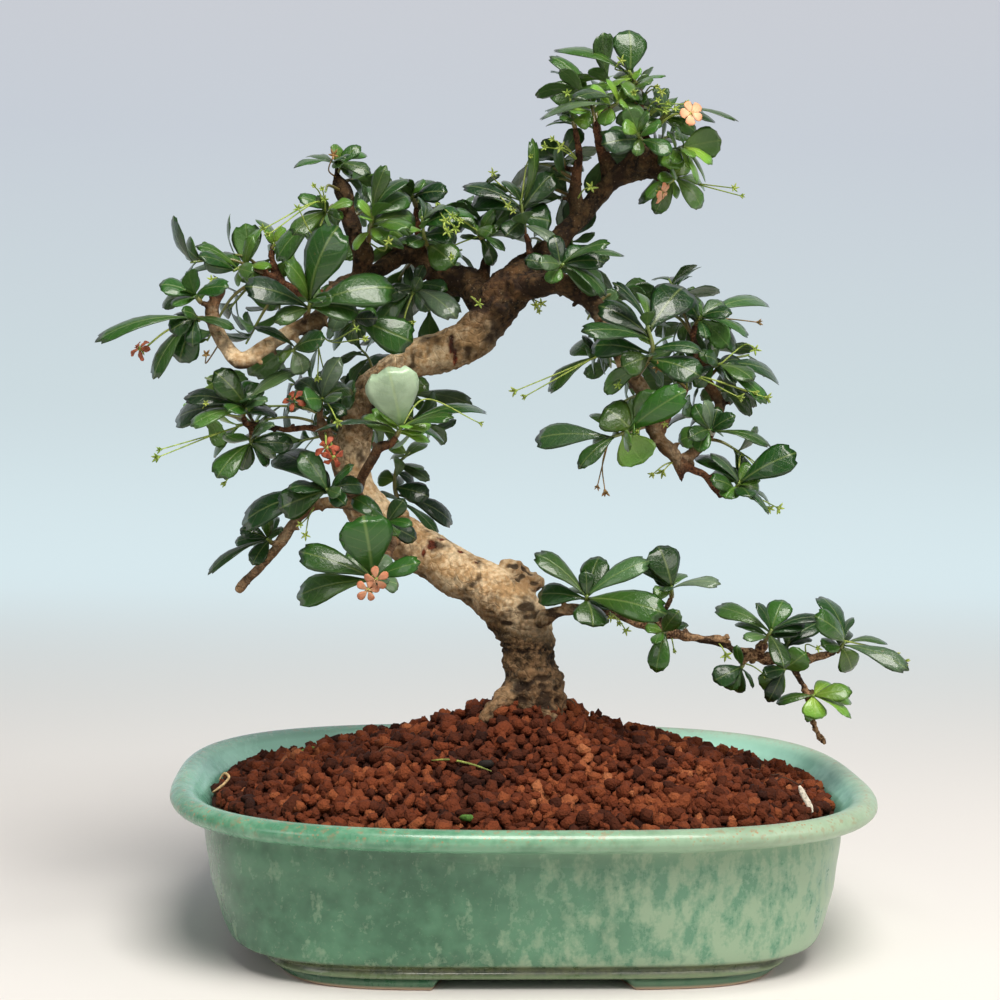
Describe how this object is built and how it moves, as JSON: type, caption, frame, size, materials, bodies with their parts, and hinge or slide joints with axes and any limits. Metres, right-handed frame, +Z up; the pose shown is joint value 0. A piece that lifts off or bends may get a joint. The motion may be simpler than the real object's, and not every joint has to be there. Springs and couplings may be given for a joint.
{
  "type": "potted bonsai tree",
  "caption": "Fukien tea bonsai with an S-shaped trunk, glossy small-leaved shoots and tiny orange flowers, planted in a low glazed oval pot.",
  "frame": {"origin": "on the surface the pot stands on, under the middle of the whole tree's box", "axes": "+Z up, X along the pot's length with the low branch reaching towards +X, the front towards -Y"},
  "size_m": [0.318, 0.214, 0.3634],
  "materials": {
    "glazed_stoneware": "glossy, mottled jade glaze",
    "plastic_mesh": "matte",
    "clay_granules": "rough, porous",
    "bark": "rough bark",
    "leaves": "waxy gloss",
    "petals": "soft matte"
  },
  "bodies": {
    "root": {"pot": "glazed_stoneware", "drainage_screen_left": "plastic_mesh", "drainage_screen_right": "plastic_mesh", "soil": "clay_granules", "trunk_and_branches": "bark", "shoot_back_twig": "leaves", "shoot_big_gloss": "leaves", "shoot_branch_drop": "leaves", "shoot_branch_end": "leaves", "shoot_branch_fan": "leaves", "shoot_branch_left": "leaves", "shoot_branch_mid": "leaves", "shoot_branch_round": "leaves", "shoot_branch_spur": "leaves", "shoot_branch_under": "leaves", "shoot_centre_low": "leaves", "shoot_crown_back": "leaves", "shoot_crown_burl": "leaves", "shoot_crown_face": "leaves", "shoot_crown_front": "leaves", "shoot_crown_inner": "leaves", "shoot_crown_left": "leaves", "shoot_crown_peak": "leaves", "shoot_crown_right": "leaves", "shoot_crown_right_low": "leaves", "shoot_dark_back": "leaves", "shoot_dark_up": "leaves", "shoot_dead_left": "leaves", "shoot_far_back": "leaves", "shoot_far_tip": "leaves", "shoot_fork_small": "leaves", "shoot_left_big": "leaves", "shoot_left_under": "leaves", "shoot_limb_tip": "leaves", "shoot_low_fan": "leaves", "shoot_low_under": "leaves", "shoot_mid_right": "leaves", "shoot_mid_upper": "leaves", "shoot_pale_fan": "leaves", "shoot_right_crown": "leaves", "shoot_right_end": "leaves", "shoot_right_fan": "leaves", "shoot_right_inner": "leaves", "shoot_right_knob": "leaves", "shoot_right_light": "leaves", "shoot_right_low": "leaves", "shoot_right_shoulder": "leaves", "shoot_small_back": "leaves", "shoot_spur_left": "leaves", "shoot_spur_right": "leaves", "shoot_spur_top": "leaves", "shoot_stub_left": "leaves", "shoot_trunk_front": "leaves", "shoot_trunk_shoot": "leaves", "shoot_twig_tall": "leaves", "shoot_under_limb": "leaves", "flower_crown": "petals", "flower_far_left": "petals", "flower_left": "petals", "flowers_low": "petals"}
  },
  "joints": []
}
